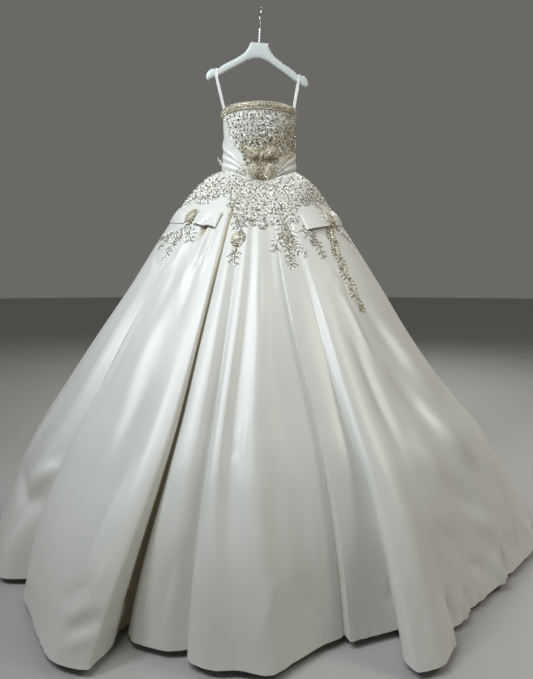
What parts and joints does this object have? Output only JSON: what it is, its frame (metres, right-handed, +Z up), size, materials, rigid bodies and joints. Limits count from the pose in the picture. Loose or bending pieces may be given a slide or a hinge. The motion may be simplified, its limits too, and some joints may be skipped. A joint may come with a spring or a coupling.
{
  "type": "a-line wedding dress on a hanger",
  "caption": "Strapless A-line wedding dress with beaded bodice, waist bow and hip bows over a full pleated satin skirt, hung by ribbon loops on a shaped hanger.",
  "frame": {"origin": "inner top of the hanger's hook, where the rail carries it", "axes": "+Z up, -Y towards the viewer and the front of the dress, +X to the right as seen from the front"},
  "size_m": [1.9023, 1.8931, 1.7924],
  "materials": {
    "duchess_satin": "ivory duchess satin, soft broad sheen",
    "beadwork": "silver-lined champagne glass beads and crystals sewn to net",
    "satin_ribbon": "narrow ivory satin ribbon",
    "hanger_plastic": "moulded off-white, satin gloss",
    "hook_steel": "drawn wire, lightly polished"
  },
  "bodies": {
    "root": {"hanger_hook": "hook_steel", "hanger_body": "hanger_plastic", "ribbon_loop_left": "satin_ribbon", "ribbon_loop_right": "satin_ribbon", "bodice_front": "duchess_satin", "bodice_back_left": "duchess_satin", "bodice_back_right": "duchess_satin", "neckline_band": "beadwork", "waist_drape_left": "duchess_satin", "waist_drape_right": "duchess_satin", "waist_bow_loop_left": "beadwork", "waist_bow_loop_right": "beadwork", "waist_bow_knot": "beadwork", "waist_bow_tail_left": "beadwork", "waist_bow_tail_right": "beadwork", "skirt_front_left": "duchess_satin", "skirt_front_centre": "duchess_satin", "skirt_front_right": "duchess_satin", "skirt_back_left": "duchess_satin", "skirt_back_right": "duchess_satin", "hip_bow_left_band": "duchess_satin", "hip_bow_left_loop": "duchess_satin", "hip_bow_left_knot": "beadwork", "hip_bow_right_band": "duchess_satin", "hip_bow_right_loop": "duchess_satin", "hip_bow_right_knot": "beadwork"}
  },
  "joints": []
}
